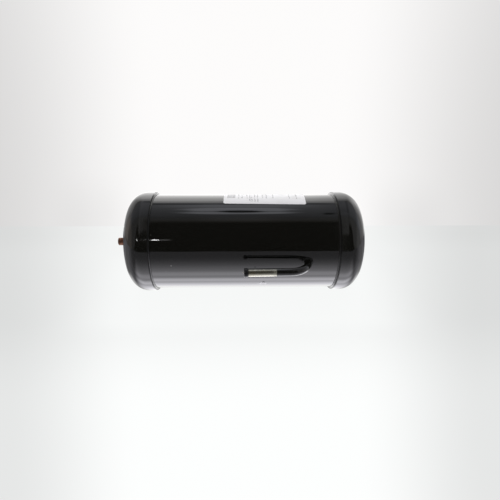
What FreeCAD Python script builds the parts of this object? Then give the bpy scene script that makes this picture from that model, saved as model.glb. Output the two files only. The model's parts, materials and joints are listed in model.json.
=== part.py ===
import FreeCAD, Part
import math
import os

# Horizontal liquid receiver of a refrigeration unit: a rolled steel shell closed by two dished heads
# whose skirts slip over its ends and are fillet welded there. A copper inlet stub stands on the axis
# of the left head. A bent steel outlet tube passes through the front of the shell, picks the liquid
# up close to the far wall inside, and ends outside in a transit plug. A label is wrapped over the top.
# Millimetres. The origin is the middle of the shell on its axis, +X runs to the right-hand head, -Y is
# the front where the outlet tube leaves, and +Z is up through the label.

V = FreeCAD.Vector
ORIGIN = V(0, 0, 0)
AXIS = V(1, 0, 0)
UP = V(0, 0, 1)

# Shell
SHELL_DIAMETER = 127.0
SHELL_WALL = 3.0
SHELL_SHOWING = 236.6  # length of shell left bare between the two skirts
SHELL_INSERTION = 8.0  # how far each end of the shell goes into its head

# Heads, all radii measured outside
HEAD_WALL = 3.4
HEAD_SLIP = 0.175  # radial clearance of the skirt over the shell
HEAD_SKIRT = 9.55  # straight part of the skirt
HEAD_EDGE_ROUND = 0.8  # rounding of the outer corner of the skirt's edge
HEAD_KNUCKLE = 25.7
HEAD_CROWN = 148.3

# Girth welds between each skirt's edge and the shell
GIRTH_WELD_LEG = 1.8  # along the shell
GIRTH_WELD_CROWN = 0.15  # how far the bead swells past a straight face
GIRTH_WELD_SHY = 1.25  # how far the bead's top stays below the outside of the skirt

# Hairline left round pieces that are welded or brazed in, so that each stays a solid of its own
ROOT_GAP = 0.02

# Inlet stub on the left head
INLET_DIAMETER = 10.3
INLET_BORE = 8.0
INLET_REACH = 11.5  # past the crest of the head
INLET_INSIDE = 3.0  # past the inner face of the head
INLET_LIP = 0.9  # rounding of the stub's outer end
INLET_BRAZE_LEG = 1.4

# Outlet tube
OUTLET_DIAMETER = 9.525
OUTLET_WALL = 0.9
OUTLET_STATION = 78.0  # distance of the riser from the middle of the shell
OUTLET_DROP = 5.6  # degrees that the riser points below level
OUTLET_RISE = 0.5  # straight length outside the shell before the bend
OUTLET_BEND_RADIUS = 24.5  # to the middle of the tube
OUTLET_SPLAY = 1.0  # degrees that the run still leans away from the shell
OUTLET_RUN = 51.0  # straight length from the bend to the open end
OUTLET_WELD_LEG = 2.2
PICKUP_GAP = 9.0  # left between the tube's inner end and the far wall
PICKUP_MITRE = 30.0  # degrees of the slanting cut at the inner end

# Transit plug in the open end of the outlet tube
PLUG_FLANGE_DIAMETER = 10.7
PLUG_FLANGE = 4.7  # thickness of the flange outside the tube
PLUG_ROUND = 0.9  # rounding of both rims of the flange
PLUG_SEAT_GAP = 0.1
PLUG_SPIGOT = 9.0  # length inside the tube
PLUG_SPIGOT_SLIP = 0.2  # radial clearance in the bore
PLUG_LEAD = 1.2  # length of the tapered nose
PLUG_PIP_DIAMETER = 1.5
PLUG_PIP = 2.0

# Label wrapped over the top of the shell
LABEL_LENGTH = 106.0
LABEL_WIDTH = 50.8  # measured round the shell
LABEL_THICKNESS = 0.15
LABEL_ADHESIVE = 0.10
LABEL_CORNER = 2.5
LABEL_STATION = 26.0  # distance of its middle from the middle of the shell
LABEL_SKEW = -1.0  # degrees that it was stuck on out of line

# Values that follow from the sizes above
SHELL_RADIUS = SHELL_DIAMETER / 2
SKIRT_EDGE = SHELL_SHOWING / 2
HEAD_RADIUS = SHELL_RADIUS + HEAD_SLIP + HEAD_WALL
KNUCKLE_STATION = SKIRT_EDGE + HEAD_SKIRT
KNUCKLE_OFFSET = HEAD_RADIUS - HEAD_KNUCKLE
KNUCKLE_ANGLE = math.asin(KNUCKLE_OFFSET / (HEAD_CROWN - HEAD_KNUCKLE))
CROWN_STATION = KNUCKLE_STATION - (HEAD_CROWN - HEAD_KNUCKLE) * math.cos(KNUCKLE_ANGLE)
CREST = CROWN_STATION + HEAD_CROWN
INLET_RADIUS = INLET_DIAMETER / 2
OUTLET_RADIUS = OUTLET_DIAMETER / 2
OUTLET_BORE_RADIUS = OUTLET_RADIUS - OUTLET_WALL


def turned(edges):
    """A closed outline in the XY plane, turned a full circle round the X axis into a solid."""
    face = Part.Face(Part.Wire(Part.__sortEdges__(edges)))
    return face.revolve(ORIGIN, AXIS, 360)


def line(a, b):
    return Part.LineSegment(a, b).toShape()


def arc(a, middle, b):
    return Part.Arc(a, middle, b).toShape()


def swell(a, b, height):
    """An arc from a to b whose middle stands off the straight line by height, to the left of it."""
    along = b - a
    side = V(-along.y, along.x, 0).normalize()
    return arc(a, (a + b) * 0.5 + side * height, b)


def chain(*points):
    """Straight edges through the points in turn."""
    return [line(a, b) for a, b in zip(points, points[1:])]


def facing(shape, place, direction):
    """The shape, made along +X at the origin, moved to a place and turned to point along direction."""
    moved = shape.copy()
    moved.Placement = FreeCAD.Placement(place, FreeCAD.Rotation(AXIS, direction))
    return moved


def head_curve(inset, edge_round):
    """The outline of the right-hand head from its skirt's edge to its crest, inset from the outside."""
    radius = HEAD_RADIUS - inset
    knuckle = HEAD_KNUCKLE - inset
    crown = HEAD_CROWN - inset

    def on_knuckle(angle):
        return V(
            KNUCKLE_STATION + knuckle * math.cos(angle),
            KNUCKLE_OFFSET + knuckle * math.sin(angle),
            0,
        )

    def on_crown(angle):
        return V(CROWN_STATION + crown * math.cos(angle), crown * math.sin(angle), 0)

    edge = V(SKIRT_EDGE, radius - edge_round, 0)
    rounded = V(SKIRT_EDGE + edge_round, radius, 0)
    crest = on_crown(0)
    edges = [
        line(rounded, on_knuckle(math.pi / 2)),
        arc(
            on_knuckle(math.pi / 2),
            on_knuckle((math.pi / 2 + KNUCKLE_ANGLE) / 2),
            on_knuckle(KNUCKLE_ANGLE),
        ),
        arc(on_crown(KNUCKLE_ANGLE), on_crown(KNUCKLE_ANGLE / 2), crest),
    ]
    if edge_round:
        short = edge_round * (1 - math.sqrt(0.5))
        edges.append(arc(edge, V(SKIRT_EDGE + short, radius - short, 0), rounded))
    return edge, edges, crest


def head():
    """The right-hand head, pressed from one disc: straight skirt, knuckle and shallow crown."""
    outer_edge, outer, outer_crest = head_curve(0, HEAD_EDGE_ROUND)
    inner_edge, inner, inner_crest = head_curve(HEAD_WALL, 0)
    closing = [line(outer_edge, inner_edge), line(outer_crest, inner_crest)]
    return turned(outer + inner + closing)


def head_envelope():
    """Everything inside the outer face of the right-hand head, for trimming what is brazed to it."""
    edge, outer, crest = head_curve(0, 0)
    return turned(outer + chain(crest, V(SKIRT_EDGE, 0, 0), edge))


def mirrored(shape):
    """The same piece at the left-hand end."""
    return shape.mirror(ORIGIN, AXIS)


def tube(outer_radius, inner_radius, length):
    """A straight tube along +X from the origin."""
    outside = Part.makeCylinder(outer_radius, length, ORIGIN, AXIS)
    return outside.cut(Part.makeCylinder(inner_radius, length, ORIGIN, AXIS))


def fillet_bead(stem_radius, leg, depth):
    """A hollow-faced fillet round a stem along +X, carried down below the origin to be trimmed."""
    inside = stem_radius + ROOT_GAP
    top = V(leg, inside, 0)
    toe = V(0, inside + leg, 0)
    foot = V(-depth, inside + leg, 0)
    root = V(-depth, inside, 0)
    return turned([swell(toe, top, -leg / 6)] + chain(toe, foot, root, top))


def outlet_directions():
    """The way that the outlet tube leaves the shell, and the way that its run points."""
    drop = math.radians(OUTLET_DROP)
    splay = math.radians(OUTLET_SPLAY)
    out = V(0, -math.cos(drop), -math.sin(drop))
    run = AXIS * -math.cos(splay) + out * math.sin(splay)
    return out, run


def outlet_stations():
    """Middle points of the outlet tube: inner end, start of the bend, centre of the bend, open end."""
    out, run = outlet_directions()
    splay = math.radians(OUTLET_SPLAY)
    on_axis = AXIS * OUTLET_STATION
    foot = on_axis - out * (SHELL_RADIUS - SHELL_WALL - PICKUP_GAP)
    bend_start = on_axis + out * (SHELL_RADIUS + OUTLET_RISE)
    bend_centre = bend_start - AXIS * OUTLET_BEND_RADIUS
    bend_end = bend_centre + (AXIS * math.sin(splay) + out * math.cos(splay)) * OUTLET_BEND_RADIUS
    return foot, bend_start, bend_centre, bend_end, bend_end + run * OUTLET_RUN


def outlet_rod(radius):
    """A solid rod along the middle of the outlet tube."""
    out, run = outlet_directions()
    foot, bend_start, bend_centre, bend_end, open_end = outlet_stations()
    turn = 90 - OUTLET_SPLAY
    disc = Part.Face(Part.Wire(Part.makeCircle(radius, bend_start, out)))
    leg = Part.makeCylinder(radius, (bend_start - foot).Length, foot, out)
    bend = disc.revolve(bend_centre, AXIS.cross(out), turn)
    straight = Part.makeCylinder(radius, (open_end - bend_end).Length, bend_end, run)
    return leg.fuse([bend, straight]).removeSplitter()


def make_shell():
    out, _ = outlet_directions()
    half = SKIRT_EDGE + SHELL_INSERTION
    body = tube(SHELL_RADIUS, SHELL_RADIUS - SHELL_WALL, 2 * half)
    body.translate(AXIS * -half)
    hole = Part.makeCylinder(OUTLET_RADIUS + ROOT_GAP, SHELL_RADIUS * 2, AXIS * OUTLET_STATION, out)
    return body.cut(hole)


def make_left_head():
    hole = Part.makeCylinder(INLET_RADIUS + ROOT_GAP, 2 * CREST, ORIGIN, AXIS * -1)
    return mirrored(head()).cut(hole)


def make_girth_weld():
    """The right-hand bead: flat against the skirt's edge, flat on the shell, swelling between."""
    root = V(SKIRT_EDGE, SHELL_RADIUS + ROOT_GAP, 0)
    toe = V(SKIRT_EDGE - GIRTH_WELD_LEG, SHELL_RADIUS + ROOT_GAP, 0)
    top = V(SKIRT_EDGE, HEAD_RADIUS - GIRTH_WELD_SHY, 0)
    return turned([swell(toe, top, GIRTH_WELD_CROWN)] + chain(top, root, toe))


def make_inlet_stub():
    length = INLET_INSIDE + HEAD_WALL + INLET_REACH
    outside = Part.makeCylinder(INLET_RADIUS, length, ORIGIN, AXIS)
    rim = [e for e in outside.Edges if e.CenterOfMass.x > length - INLET_LIP]
    bore = Part.makeCylinder(INLET_BORE / 2, length, ORIGIN, AXIS)
    stub = outside.makeFillet(INLET_LIP, rim).cut(bore)
    return facing(stub, AXIS * -(CREST - HEAD_WALL - INLET_INSIDE), AXIS * -1)


def make_inlet_braze():
    bead = fillet_bead(INLET_RADIUS, INLET_BRAZE_LEG, HEAD_WALL)
    return facing(bead, AXIS * -CREST, AXIS * -1).cut(mirrored(head_envelope()))


def make_outlet_tube():
    out, _ = outlet_directions()
    foot = outlet_stations()[0]
    pipe = outlet_rod(OUTLET_RADIUS).cut(outlet_rod(OUTLET_BORE_RADIUS))
    size = OUTLET_DIAMETER * 4
    knife = Part.makeBox(size, size, size, V(-size, -size / 2, -size / 2))
    knife.rotate(ORIGIN, UP, PICKUP_MITRE)
    back = OUTLET_RADIUS * math.tan(math.radians(PICKUP_MITRE))
    return pipe.cut(facing(knife, foot + out * back, out))


def make_outlet_weld():
    out, _ = outlet_directions()
    bead = fillet_bead(OUTLET_RADIUS, OUTLET_WELD_LEG, SHELL_WALL)
    placed = facing(bead, AXIS * OUTLET_STATION + out * SHELL_RADIUS, out)
    inside = Part.makeCylinder(SHELL_RADIUS + ROOT_GAP, SHELL_SHOWING, AXIS * (-SHELL_SHOWING / 2), AXIS)
    return placed.cut([inside, outlet_rod(OUTLET_RADIUS + ROOT_GAP)])


def make_outlet_plug():
    """Flange, spigot with a tapered nose, and the small moulding pip on the flange's outer face."""
    _, run = outlet_directions()
    open_end = outlet_stations()[4]
    spigot = OUTLET_BORE_RADIUS - PLUG_SPIGOT_SLIP
    flange = PLUG_FLANGE_DIAMETER / 2
    pip = PLUG_PIP_DIAMETER / 2
    seat = PLUG_SEAT_GAP
    face = seat + PLUG_FLANGE
    short = PLUG_ROUND * (1 - math.sqrt(0.5))
    seat_foot = V(seat, flange - PLUG_ROUND, 0)
    seat_rim = V(seat + PLUG_ROUND, flange, 0)
    face_rim = V(face - PLUG_ROUND, flange, 0)
    face_foot = V(face, flange - PLUG_ROUND, 0)
    nose = V(-PLUG_SPIGOT, 0, 0)
    nose_rim = V(-PLUG_SPIGOT, spigot - PLUG_LEAD / 2, 0)
    edges = chain(nose, nose_rim, V(PLUG_LEAD - PLUG_SPIGOT, spigot, 0), V(seat, spigot, 0), seat_foot)
    edges.append(arc(seat_foot, V(seat + short, flange - short, 0), seat_rim))
    edges.append(line(seat_rim, face_rim))
    edges.append(arc(face_rim, V(face - short, flange - short, 0), face_foot))
    edges += chain(face_foot, V(face, pip, 0), V(face + PLUG_PIP, pip, 0), V(face + PLUG_PIP, 0, 0), nose)
    return facing(turned(edges), open_end, run)


def make_label():
    """A rounded rectangle pressed down on the shell, of the label's own thickness."""
    inside = SHELL_RADIUS + LABEL_ADHESIVE
    chord = 2 * inside * math.sin(LABEL_WIDTH / 2 / inside)
    blank = Part.makeBox(LABEL_LENGTH, chord, SHELL_DIAMETER, V(-LABEL_LENGTH / 2, -chord / 2, 0))
    corners = [e for e in blank.Edges if abs(e.Length - SHELL_DIAMETER) < 1e-6]
    blank = blank.makeFillet(LABEL_CORNER, corners)
    blank.rotate(ORIGIN, UP, LABEL_SKEW)
    blank.translate(AXIS * LABEL_STATION)
    skin = tube(inside + LABEL_THICKNESS, inside, SHELL_SHOWING)
    skin.translate(AXIS * (-SHELL_SHOWING / 2))
    return skin.common(blank)


PIECES = {
    "shell": make_shell,
    "left_head": make_left_head,
    "right_head": head,
    "left_girth_weld": lambda: mirrored(make_girth_weld()),
    "right_girth_weld": make_girth_weld,
    "inlet_stub": make_inlet_stub,
    "inlet_braze": make_inlet_braze,
    "outlet_tube": make_outlet_tube,
    "outlet_weld": make_outlet_weld,
    "outlet_plug": make_outlet_plug,
    "label": make_label,
}

os.makedirs("parts", exist_ok=True)
for node, make in PIECES.items():
    piece = make()
    if piece.ShapeType == "Compound" and len(piece.Solids) == 1:
        piece = piece.Solids[0]
    piece.exportStep(f"parts/{node}.step")
    box = piece.BoundBox
    print(
        f"{node}: {len(piece.Solids)} solid, valid {piece.isValid()}, {piece.Volume:.1f} mm3,"
        f" x {box.XMin:.2f} {box.XMax:.2f}, y {box.YMin:.2f} {box.YMax:.2f}, z {box.ZMin:.2f} {box.ZMax:.2f}"
    )
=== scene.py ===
# %% [markdown]
# # A horizontal liquid receiver
# The object is a steel pressure vessel: a tube of shell closed by two dished heads, all under gloss black
# paint, with a copper stub on one end, a bent steel tube at the front and a white label over the top.
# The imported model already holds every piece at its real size. This lesson gives each one its finish, swaps
# three plain weld beads for rippled ones, and sets up the floor, the light and the camera.

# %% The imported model
import bisect
import json
import math
import random

import bmesh
import bpy
from mathutils import Matrix, Vector

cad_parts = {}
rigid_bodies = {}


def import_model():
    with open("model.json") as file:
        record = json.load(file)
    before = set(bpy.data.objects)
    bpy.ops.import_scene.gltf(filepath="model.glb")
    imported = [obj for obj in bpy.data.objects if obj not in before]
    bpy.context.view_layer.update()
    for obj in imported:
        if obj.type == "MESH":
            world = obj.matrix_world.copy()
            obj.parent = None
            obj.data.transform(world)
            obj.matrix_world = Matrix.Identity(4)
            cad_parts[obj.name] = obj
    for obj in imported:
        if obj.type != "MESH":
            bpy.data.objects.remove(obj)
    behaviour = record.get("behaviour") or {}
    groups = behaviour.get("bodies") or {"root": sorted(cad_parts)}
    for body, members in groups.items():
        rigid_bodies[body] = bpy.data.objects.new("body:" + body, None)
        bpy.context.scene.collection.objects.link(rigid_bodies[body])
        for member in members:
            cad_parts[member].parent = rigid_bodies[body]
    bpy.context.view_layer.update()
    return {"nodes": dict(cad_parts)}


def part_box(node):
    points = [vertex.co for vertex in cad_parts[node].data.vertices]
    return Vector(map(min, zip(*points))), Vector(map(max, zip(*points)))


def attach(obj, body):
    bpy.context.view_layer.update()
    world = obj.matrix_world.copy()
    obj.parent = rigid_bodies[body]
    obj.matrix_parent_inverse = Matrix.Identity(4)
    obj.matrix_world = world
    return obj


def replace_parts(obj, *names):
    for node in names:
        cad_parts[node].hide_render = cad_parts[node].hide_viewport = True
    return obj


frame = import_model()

MM = 0.001
nodes = frame["nodes"]
print("nodes:", ", ".join(sorted(nodes)))

# %% [markdown]
# ## The few sizes that the finishes need
# A box round a piece gives the radius of the shell, where the skirts end and where the tube leaves. Writing
# these down would be as short, but read from the model they follow it when it changes. What no box tells is
# written down: the tube's own radius and bend, the few degrees by which it drops below level, and how much
# its long run leans away from the shell.

# %% Measured sizes, in metres
SHELL_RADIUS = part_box("shell")[1].z
HEAD_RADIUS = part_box("right_head")[1].z
SKIRT_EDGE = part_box("right_head")[0].x
TUBE_RADIUS = 9.525 / 2 * MM
TUBE_STATION = sum(corner.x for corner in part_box("outlet_weld")) / 2
OUTLET_DROP = math.radians(5.6)
OUTLET_SPLAY = math.radians(1.0)

along = Vector((1, 0, 0))
outward = Vector((0, -math.cos(OUTLET_DROP), -math.sin(OUTLET_DROP)))
run = -along * math.cos(OUTLET_SPLAY) + outward * math.sin(OUTLET_SPLAY)
BEND_RADIUS = 24.5 * MM
BEND_STARTS = SHELL_RADIUS + 0.5 * MM
RUN_LENGTH = 51 * MM
bend_middle = along * (TUBE_STATION - BEND_RADIUS) + outward * BEND_STARTS
bend_end = bend_middle + (along * math.sin(OUTLET_SPLAY) + outward * math.cos(OUTLET_SPLAY)) * BEND_RADIUS
open_end = bend_end + run * RUN_LENGTH
print("shell radius", round(SHELL_RADIUS, 5), "skirt edge", round(SKIRT_EDGE, 5), "tube end", open_end)

# %% [markdown]
# ## The camera
# The camera could be placed by eye, but here it was worked out from the picture's own perspective: the
# outlines of the two heads and the shell and the edges of the label fix where the lens was. It looks down
# about twenty degrees from half a metre in front. A lens of 28.8 mm on a 36 mm sensor makes 500 pixels span
# the same field as the picture.

# %% Camera
CAMERA_PLACE = Vector((-8.74, -523.12, 182.66)) * MM
CAMERA_TURN = math.radians(1.812)
CAMERA_DOWN = math.radians(20.534)
CAMERA_ROLL = math.radians(0.392)

lens = bpy.data.cameras.new("photo_camera")
lens.lens = 28.8
lens.sensor_width = 36
camera = bpy.data.objects.new("photo_camera", lens)
bpy.context.scene.collection.objects.link(camera)
bpy.context.scene.camera = camera
looking = Vector((
    math.sin(CAMERA_TURN) * math.cos(CAMERA_DOWN),
    math.cos(CAMERA_TURN) * math.cos(CAMERA_DOWN),
    -math.sin(CAMERA_DOWN),
))
level_view = looking.to_track_quat("-Z", "Y").to_matrix().to_4x4()
camera.matrix_world = Matrix.Translation(CAMERA_PLACE) @ level_view @ Matrix.Rotation(CAMERA_ROLL, 4, "Z")
bpy.context.scene.view_settings.view_transform = "Standard"
print("camera looks along", looking)

# %% [markdown]
# ## Wiring nodes as sums
# A finish is arithmetic on numbers that vary over a surface: a mask times a mask, a noise plus a height. It
# could be wired by hand or with one call for each node, but then a formula is spread over many lines. The
# class below wraps one socket and lets Python's own operators add the Math nodes, so that `1 - mask` is
# written as it is read. One method makes every other kind of node.

# %% The socket class
class Wire:
    """A socket that can stand in a sum. Wire.tree is the node tree that is being built."""

    tree = None

    def __init__(self, socket):
        self.socket = socket

    @classmethod
    def node(cls, kind, settings=None, sockets=None, out=0):
        """Any node: its settings come first, then the values or links of its sockets."""
        made = cls.tree.nodes.new(kind)
        for name, value in (settings or {}).items():
            setattr(made, name, value)
        for name, value in (sockets or {}).items():
            if isinstance(value, Wire):
                cls.tree.links.new(value.socket, made.inputs[name])
            else:
                made.inputs[name].default_value = value
        return cls(made.outputs[out]) if len(made.outputs) else None

    @staticmethod
    def sum(operation, *values):
        return Wire.node("ShaderNodeMath", {"operation": operation}, dict(enumerate(values)))

    def other(self, name):
        """Another output of the node that this socket belongs to."""
        return Wire(self.socket.node.outputs[name])

    def __add__(self, value):
        return Wire.sum("ADD", self, value)

    def __radd__(self, value):
        return Wire.sum("ADD", value, self)

    def __sub__(self, value):
        return Wire.sum("SUBTRACT", self, value)

    def __rsub__(self, value):
        return Wire.sum("SUBTRACT", value, self)

    def __mul__(self, value):
        return Wire.sum("MULTIPLY", self, value)

    def __rmul__(self, value):
        return Wire.sum("MULTIPLY", value, self)

    def __truediv__(self, value):
        return Wire.sum("DIVIDE", self, value)

    def __rtruediv__(self, value):
        return Wire.sum("DIVIDE", value, self)

    def __pow__(self, value):
        return Wire.sum("POWER", self, value)

    def __neg__(self):
        return Wire.sum("MULTIPLY", self, -1)

    def __abs__(self):
        return Wire.sum("ABSOLUTE", self)


print("operators ready")

# %% [markdown]
# A few small helpers come up in nearly every finish: a soft step between two values, a window that is 1
# between two edges, a noise of a wanted grain size, and a colour that goes from one to another with a mask.
# Each takes real lengths in metres, so a grain of 2 mm is written as 2 mm and stays so on every piece.

# %% Helpers for masks and colours
def step(value, low, high):
    """0 below low, 1 above high, and a smooth climb between. It falls where low is above high."""
    if low > high:
        return 1 - step(value, high, low)
    edges = {"Value": value, "From Min": low, "From Max": high}
    return Wire.node("ShaderNodeMapRange", {"interpolation_type": "SMOOTHSTEP"}, edges, "Result")


def window(value, low, high, soft):
    """1 between low and high, with edges as wide as soft."""
    return step(value, low - soft, low + soft) * step(value, high + soft, high - soft)


def larger(a, b):
    """The larger of two numbers, which joins two masks into one."""
    return Wire.sum("MAXIMUM", a, b)


def split(vector):
    """The X, Y and Z of a vector as three numbers."""
    x = Wire.node("ShaderNodeSeparateXYZ", None, {"Vector": vector})
    return x, x.other("Y"), x.other("Z")


def stretched(vector, scale):
    """A vector multiplied by a scale for each direction."""
    return Wire.node("ShaderNodeVectorMath", {"operation": "MULTIPLY"}, {0: vector, 1: scale})


def noise(place, grain, detail=2.0, rough=0.5, stretch=(1, 1, 1)):
    """A soft random value round 0.5, whose lumps are about as large as grain, in metres."""
    fitted = stretched(place, tuple(s / grain for s in stretch))
    sockets = {"Vector": fitted, "Scale": 1.0, "Detail": detail, "Roughness": rough}
    return Wire.node("ShaderNodeTexNoise", None, sockets, "Fac")


def specks(place, spacing, size, seed=0.0):
    """A scatter of round spots: about one in each cube of side spacing, with a radius of size."""
    shifted = Wire.node("ShaderNodeVectorMath", {"operation": "ADD"}, {0: place, 1: (seed, seed, seed)})
    sockets = {"Vector": shifted, "Scale": 1 / spacing, "Randomness": 1.0}
    reach = Wire.node("ShaderNodeTexVoronoi", None, sockets, "Distance")
    return step(reach, size / spacing, size / spacing * 0.4)


def mix(mask, a, b):
    """Colour a where the mask is 0 and colour b where it is 1."""
    a, b = (c if isinstance(c, Wire) else (*c, 1) for c in (a, b))
    return Wire.node("ShaderNodeMix", {"data_type": "RGBA"}, {0: mask, 6: a, 7: b}, 2)


def scaled(colour, amount):
    """A colour made brighter or darker by an amount that may vary."""
    return Wire.node("ShaderNodeVectorMath", {"operation": "SCALE"}, {"Vector": colour, "Scale": amount})


def bump(height, distance, normal=None):
    """Relief of a height from 0 to 1 over a distance in metres, on top of another relief if given."""
    sockets = {"Height": height, "Distance": distance, "Strength": 1.0}
    if normal is not None:
        sockets["Normal"] = normal
    return Wire.node("ShaderNodeBump", None, sockets)


print("helpers ready")

# %% [markdown]
# ## The room that the paint mirrors
# Gloss black paint has almost no colour of its own: what is seen on it is the room. The room was a white
# tent with its front open to a dark space, a bright wall at the back and a plain sheet overhead. It could be
# built from cloth walls and lamps, but the world shader can say the same with a few masks on direction.
#
# The receiver lies along X, so a straight edge of the tent that runs along X is mirrored as a straight line
# along the shell. Two numbers name a direction best: the angle turned about X, from level at the front over
# the top to the back, and how far the direction leans to the side.

# %% World: directions
world = bpy.data.worlds.new("tent")
bpy.context.scene.world = world
world.use_nodes = True
Wire.tree = world.node_tree
Wire.tree.nodes.clear()

direction = Wire.node("ShaderNodeTexCoord", out="Generated")
aside, away, up = split(direction)
lean = abs(aside)
turn = Wire.sum("ARCTAN2", up, -away) * (180 / math.pi)
print("world directions ready")

# %% [markdown]
# The dark opening runs from the front edge of the table up to 67 degrees. Two narrow wedges of lit cloth
# hang down into it, and its outer corners are closed by flaps, so its top edge sinks there. Each edge is a
# soft step on the turn or the lean, because the real folds were soft and a mask needs no cloth to be built.

# %% World: the dark opening
OPENING_FOOT, OPENING_TOP = -20, 67
FLAP_TOP, FLAP_SINKS = 57, 60
DOOR_LEAN = (0.24, 0.27)
OPENING_LIGHT = 0.022
LEFT_FOLD = ((0.225, 0.27), (0.37, 0.31), 27)
RIGHT_FOLD = ((0.252, 0.258), (0.295, 0.272), 31)


def squared(value):
    return value * value


def wedge(sideways, inner, outer, foot):
    """A fold of lit cloth between two leans, given at its top and at its foot, where it ends."""
    thin = step(turn, 47, 26)
    inside = sideways - (inner[0] + (inner[1] - inner[0]) * thin)
    outside = sideways - (outer[0] + (outer[1] - outer[0]) * thin)
    return step(inside, -0.005, 0.005) * step(outside, 0.02, -0.02) * step(turn, foot - 4, foot + 5)


folds = larger(wedge(-aside, *LEFT_FOLD), wedge(aside, *RIGHT_FOLD))
beside_door = step(lean, *DOOR_LEAN)
front_door = window(turn, OPENING_FOOT, OPENING_TOP, 5.5) * (1 - beside_door)
flap_edge = FLAP_TOP - FLAP_SINKS * step(lean, 0.45, 0.75)
above_foot = step(turn, OPENING_FOOT - 7, OPENING_FOOT + 7)
flap_door = step(turn - flap_edge, 8, -8) * above_foot * step(lean, 0.85, 0.7)
opening = larger(front_door, flap_door * beside_door) * (1 - folds)
print("opening up to", OPENING_TOP, "degrees")

# %% [markdown]
# Overhead the sheet is lit through from above, a little stronger towards the back and the sides. A square
# lamp stood on it: a brighter patch with a dark slit and a small dark hole in its middle, which the shell
# mirrors as a long thin lens of light. A glow lies behind it, and the foot of the lamp's stand shows as one
# dark spot. A real lamp over a real cloth would need many samples to look this smooth, so the sheet is
# written down as brightnesses, in which 1 is white.

# %% World: overhead sheet and its lamp
SHEET_LIGHT = 0.155
BACK_LIGHT = 0.12
CORNER_LIGHT = 0.16
LAMP_LIGHT = 0.46
LAMP_TURN = 96.2
GLOW_LIGHT = 0.28
GLOW_TURN = 113
HOLE_PLACE = (0.006, 94.6)


def away_from(lean_there, turn_there):
    """How far a direction lies from another one, as an angle in radians."""
    return (squared(aside - lean_there) + squared((turn - turn_there) * (math.pi / 180))) ** 0.5


overhead = step(turn, 78, 112) * (BACK_LIGHT - 0.08 * step(lean, 0.15, 0.5))
corners = 0.12 * step(lean, 0.72, 0.85) * step(turn, 98, 120) + CORNER_LIGHT * step(lean, 0.8, 0.94)
right_dim = 0.065 * window(aside, 0.24, 0.4, 0.05) * step(turn, 84, 92)
corners = corners + 0.06 * step(aside, 0.3, 0.5) - right_dim
bowed = abs(turn - LAMP_TURN) + 2.5 * squared(lean / 0.14)
fork = window(turn, 93.5, 98.5, 1.2) * step(lean, 0.1, 0.14)
patch = step(lean, 0.175, 0.095) * step(bowed, 10.8, 8.6) * (1 - 0.85 * fork)
glow = GLOW_LIGHT * step(away_from(0, GLOW_TURN), 0.24, 0.04)
low_dim = 1 - 0.22 * step(turn, 84, 76) * step(lean, 0.02, 0.14)
hole = step(away_from(*HOLE_PLACE), 0.073, 0.042)
slit = 0.55 * window(turn, 93.8, 95.8, 0.5) * step(lean, 0.16, 0.1)
stand = window(aside, 0.21, 0.234, 0.004) * window(turn, 85, 90, 1)
sheet = (SHEET_LIGHT + overhead + corners + glow + LAMP_LIGHT * patch) * low_dim
sheet = sheet * (1 - 0.93 * hole) * (1 - slit) * (1 - 0.88 * stand)
print("lamp at", LAMP_TURN, "degrees")

# %% [markdown]
# Behind, the lit wall starts below a thin dark seam. It is brightest low down and in the middle, and its
# upper edge drops towards the sides. The heads curve round and mirror far more of it than the shell does,
# so its fall to the sides was set by the heads and its rise by the shell.

# %% World: the lit wall
BACK_SEAM = 120.5
WALL_FOOT = 0.78
WALL_RISE = 0.66

wall_edge = BACK_SEAM + 9 * step(lean, 0.25, 0.5) - 8 * step(lean, 0.58, 0.76)
wall_fade = 1 - 0.3 * step(lean, 0.15, 0.5) - 0.4 * step(lean, 0.75, 1.0)
wall_right = 0.45 * window(aside, 0.53, 0.67, 0.07) - 0.3 * window(aside, 0.19, 0.44, 0.07)
wall_fade = wall_fade * (1 + wall_right) * (1 - 0.28 * step(aside, -0.45, -0.54))
past_edge = abs(turn) - wall_edge
wall_rise = WALL_RISE * (1 - 0.8 * step(lean, 0.3, 0.55))
wall_light = WALL_FOOT * step(past_edge, 0.5, 6) + wall_rise * step(past_edge, 5.5, 17.5)
back_wall = wall_fade * wall_light * (1 + 0.3 * step(abs(turn), 135, 165))
seam = window(turn, BACK_SEAM - 1.8, BACK_SEAM + 1.9, 1.0) * step(lean, 0.25, 0.2)
room = larger(sheet + 0.05 * folds, back_wall) * (1 - 0.62 * seam)
room = room * (1 - opening) + OPENING_LIGHT * opening
print("back wall from", BACK_SEAM, "degrees")

# %% [markdown]
# Three kinds of ray ask the world for light. Mirrored rays get the room above. The camera gets a plain
# white that dims to the sides, as the picture's backdrop does. All other rays, which light matt surfaces,
# get one plain level, so a colour renders about as bright as it is written.

# %% World: who sees what
PLAIN_LEVEL = 0.55
BACKDROP_LEVEL = 0.98
BACKDROP_MIDDLE = 0.025

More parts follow.
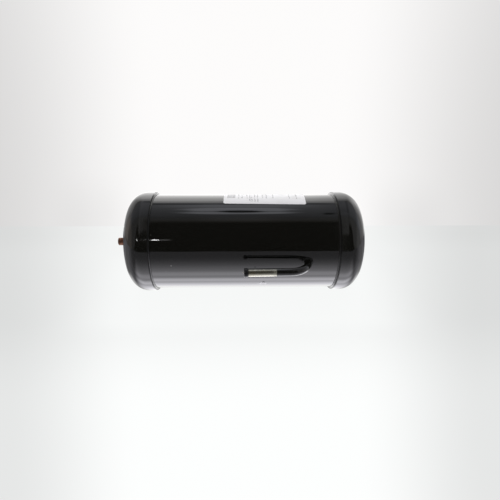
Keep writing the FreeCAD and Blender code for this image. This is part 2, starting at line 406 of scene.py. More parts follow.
rays = Wire.node("ShaderNodeLightPath", out="Is Camera Ray")
mirrored_ray = larger(rays.other("Is Glossy Ray"), rays.other("Is Transmission Ray"))
to_side = abs(aside - BACKDROP_MIDDLE)
low_band = window(up, -0.32, -0.2, 0.06) * window(to_side, 0.3, 0.42, 0.04)
backdrop = BACKDROP_LEVEL - 0.3 * step(to_side, 0.2, 0.6) - 0.05 * low_band
plain = PLAIN_LEVEL * (1 - rays) * (1 - mirrored_ray)
brightness = backdrop * rays + room * mirrored_ray * (1 - rays) + plain
cool_cloth = window(turn, 76, 124, 5) * mirrored_ray
warm_side = step(aside, -0.78, -0.95) * mirrored_ray
tint = mix(cool_cloth, (1.0, 0.99, 0.985), (0.98, 1.0, 1.08))
tint = mix(warm_side, mix(opening * mirrored_ray, tint, (1.06, 1.0, 0.84)), (1.1, 1.0, 0.92))
light = Wire.node("ShaderNodeBackground", None, {"Color": scaled(tint, brightness), "Strength": 1.0})
Wire.node("ShaderNodeOutputWorld", None, {"Surface": light})
print("world nodes:", len(Wire.tree.nodes))

# %% [markdown]
# ## The table
# A flat white sheet lies under the receiver. One plane is enough for it, because it is seen as a plain
# ground. It keeps a soft shadow, as a matt surface, and glows for the camera so that it stays white without
# more light on the object.

# %% Floor
TABLE_LEFT, TABLE_RIGHT = -1.4, 1.4
TABLE_FRONT, TABLE_BACK = -0.85, 0.29
FLOOR_GAP = 0.4 * MM
floor_height = -HEAD_RADIUS - FLOOR_GAP

floor_mesh = bpy.data.meshes.new("table")
floor_mesh.from_pydata(
    [(x, y, floor_height) for y in (TABLE_FRONT, TABLE_BACK) for x in (TABLE_LEFT, TABLE_RIGHT)],
    [],
    [(0, 1, 3, 2)],
)
floor = bpy.data.objects.new("table", floor_mesh)
bpy.context.scene.collection.objects.link(floor)
print("floor at", round(floor_height, 5))

# %% [markdown]
# In the mirror of the paint the sheet is a pool of painted light: bright close to the vessel and dim towards
# its front edge, past which the dark opening starts. Brighter and darker bands run along it, each mirrored as
# a line along the shell, and right under the vessel's axis it is much darker, a painted shadow. Bending the
# plane would show such lines too, but then their light could not be set one by one, so the pool is a
# brightness that depends on the place.

# %% Floor: what the paint mirrors
POOL_LIGHT = 2.15
POOL_REACH = 0.042
POOL_EDGE = 0.057
POOL_END = 0.138
FAR_LIGHT = 0.16
# Lines along the sheet, by distance in front of the vessel's axis: from, to, softness, how much brighter.
POOL_BANDS = (
    (0.0435, 0.0495, 0.002, -0.14),
    (0.0505, 0.057, 0.002, 0.12),
    (0.0615, 0.0715, 0.003, -0.3),
    (0.0785, 0.086, 0.003, 0.1),
)

sheet_finish = bpy.data.materials.new("white_sheet")
sheet_finish.use_nodes = True
Wire.tree = sheet_finish.node_tree
Wire.tree.nodes.clear()
x, y, _ = split(Wire.node("ShaderNodeTexCoord", out="Object"))
before = larger(abs(y) - POOL_EDGE, 0) / POOL_REACH
under = 0.3 * step(abs(y), 0.045, 0.034)
pool = (POOL_LIGHT + under) * Wire.sum("EXPONENT", -before) * step(abs(x) - 0.72 * abs(y), POOL_END, 0.098)
slant = abs(y) / larger(abs(x), 0.05)
right_side = 0.22 * step(x, 0.1, 0.18) * step(x, 0.28, 0.2)
at_ends = (0.28 + right_side) * step(slant, 0.62, 0.12) * step(abs(x), 0.13, 0.19)
close_by = 0.8 * window(abs(x), 0.15, 0.19, 0.02) * step(abs(y), 0.045, 0.02)
banded = 1 - 0.1 * step(abs(y), 0.086, 0.092)
for start, stop, soft, gain in POOL_BANDS:
    banded = banded * (1 + gain * window(abs(y), start, stop, soft))
# Painted shadow of the vessel in the mirrored pool.
middle_dim = 1 - 0.7 * step(abs(y), 0.032, 0.004)
pool = (FAR_LIGHT + pool) * banded * middle_dim + at_ends + close_by
print("pool of light fades over", round(POOL_REACH * 1000), "mm in front of the vessel")

# %% [markdown]
# To the eye the sheet is nearly white. It dims towards both sides, along lines that fan out from a point in
# front of the vessel, and it is a touch brighter in front, and right under the vessel, where painted light
# softens the vessel's shadow.

# %% Floor: what the camera sees
FLOOR_LEVEL = 0.927
SHADOW_SHARE = 0.045
FAN_POINT = 0.6166
FAN_NEAREST = 0.2

beside_view = abs(x) / larger(y + FAN_POINT, FAN_NEAREST)
near_front = step(y, -0.08, -0.25)
far_dim = 0.025 * step(y, 0.12, 0.24) * step(beside_view, 0.26, 0.36)
# Painted light right under the vessel, which softens its shadow.
under_vessel = 0.045 * step(abs(x), 0.25, 0.15) * step(abs(y), 0.14, 0.09)
side_fall = 0.205 * step(beside_view, 0.246, 0.574)
seen = FLOOR_LEVEL + 0.085 * near_front + under_vessel - side_fall - far_dim
rays = Wire.node("ShaderNodeLightPath", out="Is Camera Ray")
mirrored_ray = larger(rays.other("Is Glossy Ray"), rays.other("Is Transmission Ray"))
glow_level = seen * rays + pool * mirrored_ray * (1 - rays)
pool_tint = mix(step(abs(y), 0.022, 0.036), (1.0, 1.0, 0.995), (0.992, 0.98, 1.04))
tint = mix(mirrored_ray * (1 - rays), (0.987, 1.0, 0.994), pool_tint)
glow = Wire.node("ShaderNodeEmission", None, {"Color": scaled(tint, glow_level), "Strength": 1.0})
matt = Wire.node("ShaderNodeBsdfDiffuse", None, {"Color": (0.88, 0.88, 0.88, 1)})
share = larger(rays * (1 - SHADOW_SHARE), mirrored_ray)
surface = Wire.node("ShaderNodeMixShader", None, {0: share, 1: matt, 2: glow})
Wire.node("ShaderNodeOutputMaterial", None, {"Surface": surface})
floor_mesh.materials.append(sheet_finish)
print("floor nodes:", len(Wire.tree.nodes))

# %% [markdown]
# ## The lamps
# One wide soft lamp overhead gives matt surfaces a top and an underside. The paint doesn't mirror it,
# because the tent hid it. Three small lamps low at the left are the bright points that the paint does
# mirror, drawn out by the shell into a short line with a tail. They could be bright spots of the world too,
# but a lamp is sampled straight away and so stays free of noise. All aim at the middle of the shell.

# %% Lamps
def lamp(name, place, width, depth, watts, mirrored):
    data = bpy.data.lights.new(name, "AREA")
    data.shape = "RECTANGLE"
    data.size = width
    data.size_y = depth
    data.energy = watts
    made = bpy.data.objects.new(name, data)
    made.location = place
    made.rotation_euler = (-Vector(place)).to_track_quat("-Z", "Y").to_euler()
    made.visible_glossy = mirrored
    made.visible_camera = False
    bpy.context.scene.collection.objects.link(made)
    return made


lamp("sheet_lamp", (0, 0.7, 0.95), width=1.2, depth=0.9, watts=8.0, mirrored=False)
lamp("catch_lamp", (-0.368, -1.215, 0.499), width=0.025, depth=0.03, watts=0.034, mirrored=True)
lamp("tail_lamp", (-0.334, -1.215, 0.497), width=0.06, depth=0.02, watts=0.0036, mirrored=True)
lamp("dot_lamp", (-0.74, -1.12, 0.458), width=0.12, depth=0.05, watts=0.12, mirrored=True)

# %% [markdown]
# ## Gloss black paint
# The shell and heads were sprayed in one coat over bare steel. Up close such paint has a faint orange peel,
# long shallow waves left from rolling, a few dust specks under it and some rubbed places. The colour stays
# nearly black, and all the interest is in how straight the mirrored lines stay. A clear coat over a dark base
# would do it too, but one gloss layer bakes to plain maps. Every finish starts and ends with the same lines,
# so those come first.

# %% Starting and ending a finish
def start_finish(name):
    """Makes a material, wires into it from here on, and gives its place on the piece in metres."""
    material = bpy.data.materials.new(name)
    material.use_nodes = True
    Wire.tree = material.node_tree
    Wire.tree.nodes.clear()
    return material, Wire.node("ShaderNodeTexCoord", out="Object")


def end_with(material, shader):
    """Puts the last shader on the material's surface."""
    Wire.node("ShaderNodeOutputMaterial", None, {"Surface": shader})
    print(material.name, "has", len(material.node_tree.nodes), "nodes")
    return material


def end_finish(material, sockets):
    """Ends a material in one Principled shader with the given sockets."""
    return end_with(material, Wire.node("ShaderNodeBsdfPrincipled", None, sockets, "BSDF"))


def end_mixed(material, share, first, second):
    """Ends a material in two shaders, mixed by a share that may vary over the surface."""
    return end_with(material, Wire.node("ShaderNodeMixShader", None, {0: share, 1: first, 2: second}))


def finish_node(name, material):
    """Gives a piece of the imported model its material."""
    nodes[name].data.materials.clear()
    nodes[name].data.materials.append(material)


print("finishes can start and end")

# %% [markdown]
# The black paint has two states. One is gloss and mirrors the whole room. The other is dull and mirrors less:
# it is painted shade for the corners beside the welds, which lie in shade. Both are one kind of shader with
# other numbers, mixed by a mask.

# %% The two states of the paint
PAINT_IOR = 1.6
PAINT_MIRROR = 1.0
# Lower mirror of the dull state, which is painted shade in the corners beside the welds.
SHADE_MIRROR = 0.3
PAINT_BLACK = (0.0041, 0.0042, 0.0036)
# Slant and heights of the band in which those corners get painted shade.
CORNER_SHADE_TILT = 0.4
CORNER_SHADE_TOP = (0.0675, 0.058)
CORNER_SHADE_BOTTOM = (-0.054, -0.040)


def paint_shader(colour, roughness, mirror, normal):
    """One state of the black paint, to be mixed with another by end_mixed."""
    return Wire.node("ShaderNodeBsdfPrincipled", None, {
        "Base Color": colour,
        "Roughness": roughness,
        "IOR": PAINT_IOR,
        "Specular IOR Level": mirror,
        "Normal": normal,
    }, "BSDF")


def corner_shade_mask(place):
    """1 between a bottom and a slanted top height, where the corners beside the welds get painted shade."""
    _, y, z = split(place)
    return step(z + CORNER_SHADE_TILT * y, *CORNER_SHADE_TOP) * step(z, *CORNER_SHADE_BOTTOM)


print("paint black", PAINT_BLACK)

# %% [markdown]
# The shell is smooth, so its few marks draw the eye: a dull spot above the tube's left end, a dark nib below
# the tube, a pale grey streak under the nib that is a painted highlight, and a pale speck at the left. Each
# is a soft round mask at a point in millimetres. All other dust is left to chance.

# %% Paint on the shell
NIB = (24.1, -50.0, -39.1)
DULL_SPOT = (12.3, -62.0, -13.0)
PALE_SPECK = (-92.0, -62.6, -10.5)
# Place of a painted highlight under the nib, in millimetres.
NIB_HIGHLIGHT = (23.1, -46.5, -43.2)
SCUFFED_MIRROR = 0.15
DUST_GREY = (0.26, 0.255, 0.25)
# Grey of the painted highlight under the nib.
NIB_HIGHLIGHT_GREY = (0.6, 0.59, 0.62)


def spot(place, middle, size, wide=1.0):
    """A soft mark at a point given in millimetres, with its half height and how much wider it is."""
    centre = tuple(value * MM for value in middle)
    offset = Wire.node("ShaderNodeVectorMath", {"operation": "SUBTRACT"}, {0: place, 1: centre})
    offset = stretched(offset, (1 / wide, 1, 1))
    reach = Wire.node("ShaderNodeVectorMath", {"operation": "LENGTH"}, {0: offset}, "Value")
    return step(reach, size, size * 0.3)


def shell_paint():
    material, place = start_finish("gloss_black_shell")
    peel = noise(place, 1.6 * MM, detail=1.0)
    waves = noise(place, 9 * MM, detail=1.0, stretch=(0.12, 1, 1))
    dust = specks(place, 22 * MM, 0.5 * MM)
    nib = spot(place, NIB, 2.4 * MM, wide=1.1)
    dull = spot(place, DULL_SPOT, 1.2 * MM)
    light = spot(place, PALE_SPECK, 1.1 * MM)
    # A pale grey streak under the nib: a painted highlight.
    nib_highlight = spot(place, NIB_HIGHLIGHT, 3.0 * MM, wide=2.6)
    rubbed = step(noise(place, 30 * MM, detail=4.0, stretch=(0.5, 1, 1)), 0.55, 0.75)
    colour = mix(larger(dust * 0.8, light), PAINT_BLACK, DUST_GREY)
    colour = mix(nib_highlight, colour, NIB_HIGHLIGHT_GREY)
    fine = bump(peel, 0.004 * MM)
    relief = bump(waves, 0.05 * MM, normal=fine)
    nibs = bump(dust, 0.08 * MM, normal=relief)
    gloss = paint_shader(colour, 0.045 + 0.05 * rubbed + 0.3 * dust, PAINT_MIRROR, nibs)
    scuffed = paint_shader((*PAINT_BLACK, 1), 0.6, SCUFFED_MIRROR, fine)
    return end_mixed(material, larger(nib * 0.75, dull * 0.8), gloss, scuffed)


finish_node("shell", shell_paint())

# %% [markdown]
# The heads were pressed and shot-blasted, so their paint has a little more orange peel. The cut edge of each
# skirt sits in the corner beside the weld, and there it gets the paint's dull state as painted shade, darker
# because it mirrors less. The edge is found by its distance along the vessel, made a little ragged by a
# noise.

# %% Paint on the heads
# Width of the skirt's edge that gets painted shade.
EDGE_SHADE_WIDTH = 0.9 * MM
HEAD_DUST = (0.16, 0.155, 0.15)
# Black of the painted shade where the skirt's edge is rubbed.
SHADED_EDGE_BLACK = (0.012, 0.011, 0.010)


def head_paint():
    material, place = start_finish("gloss_black_heads")
    x, _, _ = split(place)
    peel = noise(place, 1.8 * MM, detail=1.0)
    waves = noise(place, 14 * MM, detail=1.0)
    dust = specks(place, 26 * MM, 0.5 * MM, seed=0.3)
    rubbed = step(noise(place, 22 * MM, detail=4.0), 0.5, 0.75)
    colour = mix(dust * 0.8, PAINT_BLACK, HEAD_DUST)
    fine = bump(peel, 0.005 * MM)
    relief = bump(waves, 0.05 * MM, normal=fine)
    ragged = 0.3 * MM * (noise(place, 1.5 * MM, detail=2.0) - 0.5)
    # The skirt's cut edge, between the top and bottom heights, gets painted shade.
    edge = step(abs(x) - SKIRT_EDGE + ragged, EDGE_SHADE_WIDTH + 0.1 * MM, EDGE_SHADE_WIDTH - 0.1 * MM)
    gloss = paint_shader(colour, 0.07 + 0.06 * rubbed + 0.3 * dust, PAINT_MIRROR, relief)
    dull = paint_shader(mix(rubbed, PAINT_BLACK, SHADED_EDGE_BLACK), 0.5, SHADE_MIRROR, fine)
    return end_mixed(material, edge * corner_shade_mask(place), gloss, dull)


heads_finish = head_paint()
for name in ("left_head", "right_head"):
    finish_node(name, heads_finish)

# %% [markdown]
# ## The girth welds
# Each head is joined to the shell by one bead of weld that runs right round in the corner between the
# skirt's edge and the shell. The torch was moved on in small steps, and each step froze as a crescent that
# overlaps the one before, like a twisted rope. The model's bead is a plain fillet, and a bump on it would
# leave its outline smooth, so a mesh replaces it: rings of points round the shell, each ring pushed out by
# the crescent that it falls in. First come the places and heights of the crescents along a bead.

# %% How the ripples of a bead are laid
RISE_SHARE = 0.22
def ripple_starts(length, pitch, dice):
    """Places along a closed bead where each ripple starts, with steps that vary by a quarter."""
    steps = [dice.uniform(0.75, 1.25) for _ in range(round(length / pitch))]
    scale = length / sum(steps)
    starts = [0.0]
    for size in steps:
        starts.append(starts[-1] + size * scale)
    return starts


def ripple_height(place, starts, heights):
    """Height from 0 to 1 of the ripples at a place along the bead: a quick rise and a slow fall."""
    length = starts[-1]
    place %= length
    index = bisect.bisect_right(starts, place) - 1
    index = min(index, len(starts) - 2)
    share = (place - starts[index]) / (starts[index + 1] - starts[index])
    rise = min(share / RISE_SHARE, 1)
    rise = rise * rise * (3 - 2 * rise)
    return heights[index] * rise * (1 - share * share)


def slow_waver(length, dice):
    """A smooth random wander round a closed bead, between about -1 and 1."""
    waves = [(count, dice.uniform(0, 2 * math.pi), 1 / count**0.5) for count in (2, 3, 5, 9, 14)]
    total = sum(size for _, _, size in waves)
    return lambda place: sum(
        size * math.sin(2 * math.pi * count * place / length + start) for count, start, size in waves
    ) / total * 1.6


print("ripples ready")

# %% [markdown]
# A bead is closed: its last ring is joined to its first. A curve with a bevel could make such a ring too, but
# not a section that changes at every step, so the faces are joined here by counting.

# %% A closed bead from a section that changes as it goes round
def bead_mesh(name, rings, section):
    """Joins rings of points into a closed tube. section(i) gives the points of ring i."""
    points = [point for index in range(rings) for point in section(index)]
    size = len(points) // rings
    faces = []
    for index in range(rings):
        here, there = index * size, (index + 1) % rings * size
        for side in range(size):
            after = (side + 1) % size
            faces.append((here + side, here + after, there + after, there + side))
    mesh = bpy.data.meshes.new(name)
    mesh.from_pydata(points, [], faces)
    work = bmesh.new()
    work.from_mesh(mesh)
    bmesh.ops.recalc_face_normals(work, faces=work.faces)
    work.to_mesh(mesh)
    work.free()
    for face in mesh.polygons:
        face.use_smooth = True
    made = bpy.data.objects.new(name, mesh)
    bpy.context.scene.collection.objects.link(made)
    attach(made, "vessel")
    print(name, "has", len(mesh.polygons), "faces")
    return made


# %% [markdown]
# The two girth beads stay a little below the outside of the skirt. The left one is narrow and the right one
# wider, as the two passes of the torch were not alike. Both stay inside the space of the plain fillets.

# %% The two girth beads
BEAD_TOP = HEAD_RADIUS - 1.6 * MM
BEAD_ROOT = SHELL_RADIUS + 0.02 * MM
BEAD_SWELL = 0.04 * MM
BEAD_RIPPLE = 0.13 * MM
BEAD_PITCH = 2.3 * MM
BEAD_WANDER = 0.16 * MM
BEAD_CRESCENT = 1.5 * MM
BEAD_SLANT = 0.7 * MM
BEAD_RINGS = 1760
ACROSS = 9


def girth_bead(name, side, leg, seed):
    dice = random.Random(seed)
    length = 2 * math.pi * SHELL_RADIUS
    starts = ripple_starts(length, BEAD_PITCH, dice)
    heights = [dice.uniform(0.55, 1.0) for _ in starts]
    wander = slow_waver(length, dice)
    rise = BEAD_TOP - BEAD_ROOT

    def section(index):
        angle = 2 * math.pi * index / BEAD_RINGS
        place = length * index / BEAD_RINGS
        leg_here = leg + BEAD_WANDER * wander(place)
        tilt = math.hypot(leg_here, rise)
        points = []
        for step_across in range(ACROSS):
            share = step_across / (ACROSS - 1)
            lag = BEAD_CRESCENT * (2 * share - 1) ** 2 + BEAD_SLANT * share
            dome = 4 * share * (1 - share)
            ripple = ripple_height(place - lag, starts, heights)
            lift = BEAD_SWELL * dome + BEAD_RIPPLE * dome**0.5 * ripple
            depth = -leg_here * (1 - share) - lift * rise / tilt
            radius = BEAD_ROOT + rise * share + lift * leg_here / tilt
            points.append((depth, radius))
        points.append((-0.01 * MM, BEAD_ROOT))
        return [
            (side * (SKIRT_EDGE + depth), -radius * math.cos(angle), radius * math.sin(angle))
            for depth, radius in points
        ]

    return bead_mesh(name, BEAD_RINGS, section)


left_bead = girth_bead("left_bead", -1, 1.1 * MM, 11)
right_bead = girth_bead("right_bead", 1, 1.9 * MM, 23)
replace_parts(left_bead, "left_girth_weld")
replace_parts(right_bead, "right_girth_weld")

# %% [markdown]
# ## The weld round the outlet tube
# The tube passes through the front of the shell and is welded round. This bead sits on a curved wall, so
# its outer edge rises and falls: a plain ring would hang in the air at two sides. So at each angle round the
# tube, the bead's toe is put on the cylinder of the shell. The tube starts to bend inside the weld, so each
# ring is also moved along with the bend.

# %% The outlet bead
OUTLET_LEG = 2.2 * MM
OUTLET_PITCH = 1.7 * MM
OUTLET_CRESCENT = 0.9 * MM
OUTLET_RINGS = 360
sideways = outward.cross(along)


def outlet_bead():
    dice = random.Random(5)
    length = 2 * math.pi * (TUBE_RADIUS + OUTLET_LEG / 2)
    starts = ripple_starts(length, OUTLET_PITCH, dice)
    heights = [dice.uniform(0.5, 1.0) for _ in starts]
    inner = TUBE_RADIUS + 0.03 * MM

    def on_shell(radius, angle):
        """Height of the shell's wall at a point round the tube."""
        return math.sqrt(BEAD_ROOT**2 - (radius * math.sin(angle)) ** 2)

    def section(index):
        angle = 2 * math.pi * index / OUTLET_RINGS
        place = length * index / OUTLET_RINGS
        foot = on_shell(inner + OUTLET_LEG, angle)
        top = SHELL_RADIUS + OUTLET_LEG * 0.95
        points = []
        for step_across in range(ACROSS):
            share = step_across / (ACROSS - 1)
            lag = OUTLET_CRESCENT * (2 * share - 1) ** 2
            dome = 4 * share * (1 - share)
            lift = (0.18 * ripple_height(place - lag, starts, heights) - 0.12) * MM * dome
            radius = inner + OUTLET_LEG * (1 - share) + lift
            points.append((radius, foot + (top - foot) * share + lift))
        points.append((inner, on_shell(inner, angle)))
        ring = []
        for radius, height in points:
            bent = max(height - BEND_STARTS, 0) ** 2 / (2 * BEND_RADIUS)
            middle = along * (TUBE_STATION - bent) + outward * height
            ring.append(middle + (along * math.cos(angle) + sideways * math.sin(angle)) * radius)
        return ring

    return bead_mesh("outlet_bead", OUTLET_RINGS, section)


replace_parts(outlet_bead(), "outlet_weld")

# %% [markdown]
# The beads get the same black paint over rough metal, with a coarser grain, a little worn grey and a few
# grains of spatter. In the corner beside the skirt they take the paint's dull state as painted shade: half of
# it between the top and bottom heights, and all of it at the front of the right joint, so that this joint
# reads as a dark line between two shining surfaces. Only on top and below are the beads glossy. The paint's
# own two states do this.

# %% Finish of the beads
WORN_GREY = (0.11, 0.105, 0.10)


def bead_paint():
    material, place = start_finish("painted_weld")
    grain = noise(place, 0.7 * MM, detail=3.0, rough=0.6)
    spatter = specks(place, 5 * MM, 0.35 * MM, seed=0.7)
    worn = step(noise(place, 2.5 * MM, detail=3.0), 0.56, 0.7)
    colour = mix(larger(worn * 0.12, spatter * 0.35), PAINT_BLACK, WORN_GREY)
    fine = bump(grain, 0.03 * MM)
    lumps = bump(spatter, 0.15 * MM, normal=fine)
    gloss = paint_shader(colour, 0.14 + 0.2 * worn, PAINT_MIRROR, lumps)
    # The dull state here is painted shade in the weld's corner.
    dull = paint_shader(colour, 0.36 + 0.2 * worn, SHADE_MIRROR, lumps)
    x, _, z = split(place)
    # The front of the right joint gets the full painted shade.
    right_front_shade = step(x, 0, 0.02) * step(z, 0.06, 0.045)
    return end_mixed(material, corner_shade_mask(place) * (0.5 + 0.5 * right_front_shade), gloss, dull)


beads_finish = bead_paint()
for bead in [made for made in bpy.data.objects if made.name.endswith("_bead")]:
    bead.data.materials.append(beads_finish)

# %% [markdown]
# ## The copper stub and its braze
# The stub on the left head was heated for brazing, and the copper turned from pink to a dull brown, with
# darker clouds where it got hottest. A plain copper colour would look new, so oxide is laid over it by a
# noise and by the distance from the foot, and it takes some of the metal's shine away.

# %% Copper finish
STUB_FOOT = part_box("left_head")[0].x
COPPER = (0.42, 0.21, 0.14)
OXIDE = (0.20, 0.092, 0.058)
DRAWN_COPPER = (0.55, 0.32, 0.23)


def copper():
    material, place = start_finish("copper")
    x, _, _ = split(place)
    clouds = noise(place, 4 * MM, detail=4.0, rough=0.6)
    drawn = noise(place, 0.5 * MM, detail=2.0, stretch=(0.05, 1, 1))
    heat = step(x, STUB_FOOT - 7 * MM, STUB_FOOT - 1 * MM)
    oxide = larger(step(clouds, 0.35, 0.65), heat)
    warm = mix(oxide, COPPER, OXIDE)
    colour = mix(step(drawn, 0.6, 0.8) * 0.25, warm, DRAWN_COPPER)
    return end_finish(material, {
        "Base Color": colour,
        "Metallic": 0.85 - 0.25 * oxide,
        "Roughness": 0.34 + 0.14 * oxide + 0.08 * step(drawn, 0.4, 0.7),
        "Normal": bump(drawn * 0.5 + clouds, 0.03 * MM),
    })


finish_node("inlet_stub", copper())

# %% [markdown]
# The ring of braze metal at the stub's foot is paler than the copper and half covered by paint. Paint and
# metal are one shader, in which a mask turns from one to the other along the stub.

# %% Braze finish
BRAZE_PALE = (0.50, 0.44, 0.38)
BRAZE_BROWN = (0.34, 0.27, 0.21)


def braze():
    material, place = start_finish("inlet_braze")
    x, _, _ = split(place)
    flow = noise(place, 1.2 * MM, detail=3.0)
    painted = step(x + flow * 1.2 * MM, STUB_FOOT - 0.2 * MM, STUB_FOOT + 1.2 * MM)
    metal = mix(step(flow, 0.4, 0.7), BRAZE_PALE, BRAZE_BROWN)
    return end_finish(material, {
        "Base Color": mix(painted, metal, PAINT_BLACK),
        "Metallic": 0.9 - 0.9 * painted,
        "Roughness": 0.32 - 0.2 * painted,
        "Normal": bump(flow, 0.12 * MM),
    })


finish_node("inlet_braze", braze())

# %% [markdown]
# ## The outlet tube
# The painter masked the tube's end, so the last part of its run is bare plated steel: bright, faintly yellow,
# with fine drawing lines along it. The paint stops at a slightly uneven edge with a thin dusting of
# overspray. On the side that faces the vessel the black runs on to the end as painted shade, which keeps that
# side and its mirror image in the shell dark. Two materials would meet in a sharp ring, so one material holds
# both and masks decide where the paint lies.

# %% Where a point lies on the tube's run
def from_open_end(place, axis):
    """Distance from the middle of the open end, measured along an axis."""
    offset = Wire.node("ShaderNodeVectorMath", {"operation": "SUBTRACT"}, {0: place, 1: tuple(open_end)})
    sockets = {0: offset, 1: tuple(axis)}
    return Wire.node("ShaderNodeVectorMath", {"operation": "DOT_PRODUCT"}, sockets, "Value")


off_vessel = along.cross(run).cross(run).normalized()
if off_vessel.dot(outward) < 0:
    off_vessel = -off_vessel
print("the run faces away from the vessel along", off_vessel)

# %% Tube finish
PAINT_STOPS = 33.8 * MM
PLATED_STEEL = (0.84, 0.83, 0.70)
STAINED_STEEL = (0.70, 0.64, 0.46)
# Colour of a darker ring next to the plug: painted shade.
RIM_SHADE = (0.12, 0.10, 0.08)


def tube_finish():
    material, place = start_finish("outlet_tube_finish")
    distance = from_open_end(place, -run)
    edge = (noise(place, 2.5 * MM, detail=3.0) - 0.5) * 1.2 * MM
    spray = step(noise(place, 0.35 * MM, detail=2.0), 0.45, 0.6) * window(distance, 0.030, 0.034, 0.003)
    painted = larger(step(distance + edge, PAINT_STOPS - 0.15 * MM, PAINT_STOPS + 0.15 * MM), spray * 0.6)
    # Black on the side that faces the vessel: painted shade.
    painted = larger(painted, step(from_open_end(place, off_vessel) + edge, 2.0 * MM, 1.3 * MM))
    lines = noise(place, 0.35 * MM, detail=3.0, stretch=(0.02, 1, 1))
    stain = step(noise(place, 5 * MM, detail=4.0, stretch=(0.5, 1, 1)), 0.45, 0.7)
    # A darker ring on the bare steel next to the plug: painted shade where plug and tube meet.
    rim_shade = step(distance, 1.5 * MM, 0.2 * MM)
    steel = mix(stain, PLATED_STEEL, STAINED_STEEL)
    steel = mix(rim_shade * 0.7, steel, RIM_SHADE)
    return end_finish(material, {
        "Base Color": mix(painted, steel, PAINT_BLACK),
        "Metallic": 1 - painted,
        "Roughness": 0.24 + 0.06 * stain + 0.05 * step(lines, 0.4, 0.7) - 0.18 * painted,
        "IOR": PAINT_IOR,
        "Specular IOR Level": PAINT_MIRROR,
        "Normal": bump(lines * (1 - painted), 0.02 * MM),
    })


finish_node("outlet_tube", tube_finish())

# %% [markdown]
# ## The transit plug
# A moulded plug keeps dirt out of the tube until it is fitted. It is black plastic with a fine spark-eroded
# grain, scuffed where fingers pull it. The small pip, where the plastic entered the mould, is pale grey all
# over: a painted highlight for the glint on its top. All of it is one piece, so the pip is found by its
# distance from the tube's end.

# %% Plug finish
PIP_STARTS = -4.85 * MM
PLUG_BLACK = (0.010, 0.010, 0.011)
PLUG_SCUFFED = (0.045, 0.044, 0.043)
# Grey of the painted highlight on the pip.
PIP_HIGHLIGHT_GREY = (0.55, 0.53, 0.50)


def plug_plastic():
    material, place = start_finish("black_plug")
    distance = from_open_end(place, -run)
    grain = noise(place, 0.25 * MM, detail=2.0)
    scuffs = step(noise(place, 2 * MM, detail=5.0, rough=0.65), 0.55, 0.7)
    # The pip's pale grey is a painted highlight.
    pip_highlight = step(distance, PIP_STARTS + 0.1 * MM, PIP_STARTS - 0.2 * MM)
    plastic = mix(scuffs * 0.6, PLUG_BLACK, PLUG_SCUFFED)
    return end_finish(material, {
        "Base Color": mix(pip_highlight, plastic, PIP_HIGHLIGHT_GREY),
        "Roughness": 0.34 + 0.2 * scuffs,
        "Normal": bump(grain, 0.02 * MM),
    })


finish_node("outlet_plug", plug_plastic())

# %% [markdown]
# ## The label
# A white film label lies over the top, printed in grey. Its lines of print run round the shell, across the
# label's length. What they said is left out: they are plain broken bars here, with one solid block. A picture
# could be wrapped over it, but bars can be written as masks. Two numbers name a point of the label: how far
# it is from the left end, and how far round from its middle.

# %% Where a point lies on the label
LABEL_MIDDLE = sum(corner.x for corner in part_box("label")) / 2
LABEL_SKEW = math.radians(-1.0)
LABEL_HALF = 53 * MM
PRINT_LINES = (19.3, 23.8, 30.1, 34.0, 36.5, 40.4, 44.2, 50.6, 55.7, 64.6, 85.7, 95.3)


def label_place(place):
    """Distance from the label's left end, and distance round the shell from its middle."""
    x, y, z = split(place)
    ahead = (x - LABEL_MIDDLE) * math.cos(LABEL_SKEW) + y * math.sin(LABEL_SKEW)
    across = y * math.cos(LABEL_SKEW) - (x - LABEL_MIDDLE) * math.sin(LABEL_SKEW)
    return ahead + LABEL_HALF, Wire.sum("ARCTAN2", across, z) * SHELL_RADIUS


print("label middle at", round(LABEL_MIDDLE, 5), "with", len(PRINT_LINES), "lines of print")

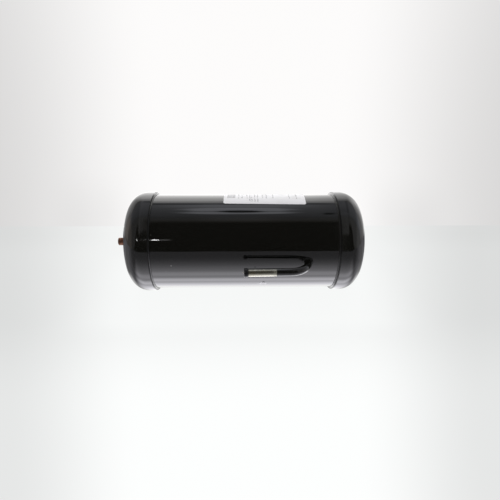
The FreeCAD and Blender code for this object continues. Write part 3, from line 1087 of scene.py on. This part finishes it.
# %% [markdown]
# The film is satin plastic, a little soiled, and it lies on the paint in slow waves. The ink is dark grey but
# worn, so that each bar shows film through it. Where the lines in the middle of the label run further down
# than the rest, a second window lets their bars through.

# %% Label finish
LONG_LINES = (33, 45)
LINE_HALF = 0.85
LINE_SPAN = (-11.6 * MM, 21.5 * MM)
LOWER_SPAN = (-20.5 * MM, -13.2 * MM)
BLOCK_ALONG = (4.3 * MM, 15 * MM)
BLOCK_ROUND = (-11 * MM, 16 * MM)
FILM_WHITE = (0.82, 0.82, 0.845)
FILM_SOILED = (0.74, 0.735, 0.74)
INK = (0.10, 0.10, 0.11)


def printed_lines(place, from_left, round_shell):
    """Broken bars for the lines of print, as a mask."""
    strokes = step(noise(place, 0.8 * MM, detail=2.0, stretch=(0.4, 1, 1)), 0.46, 0.54)
    gaps = step(noise(place, 5 * MM, detail=1.0, stretch=(3, 1, 1)), 0.42, 0.47)
    length = window(round_shell, *LINE_SPAN, 0.3 * MM)
    lower = window(round_shell, *LOWER_SPAN, 0.3 * MM)
    ink = 0
    for line in PRINT_LINES:
        bar = window(from_left, (line - LINE_HALF) * MM, (line + LINE_HALF) * MM, 0.12 * MM)
        reach = larger(length, lower) if LONG_LINES[0] < line < LONG_LINES[1] else length
        ink = larger(ink, bar * reach)
    return ink * strokes * gaps


def label_film():
    material, place = start_finish("white_label")
    from_left, round_shell = label_place(place)
    block = window(from_left, *BLOCK_ALONG, 0.2 * MM) * window(round_shell, *BLOCK_ROUND, 0.3 * MM)
    worn = step(noise(place, 1.1 * MM, detail=3.0), 0.35, 0.5)
    ink = larger(printed_lines(place, from_left, round_shell) * 0.9, block * 0.55 * worn)
    soil = step(noise(place, 12 * MM, detail=4.0), 0.5, 0.75)
    film = mix(soil * 0.5, FILM_WHITE, FILM_SOILED)
    grain = noise(place, 0.6 * MM, detail=2.0)
    lift = noise(place, 16 * MM, detail=2.0)
    return end_finish(material, {
        "Base Color": mix(ink, film, INK),
        "Roughness": 0.38 + 0.1 * soil,
        "Normal": bump(grain * 0.2 + lift, 0.06 * MM),
    })


finish_node("label", label_film())
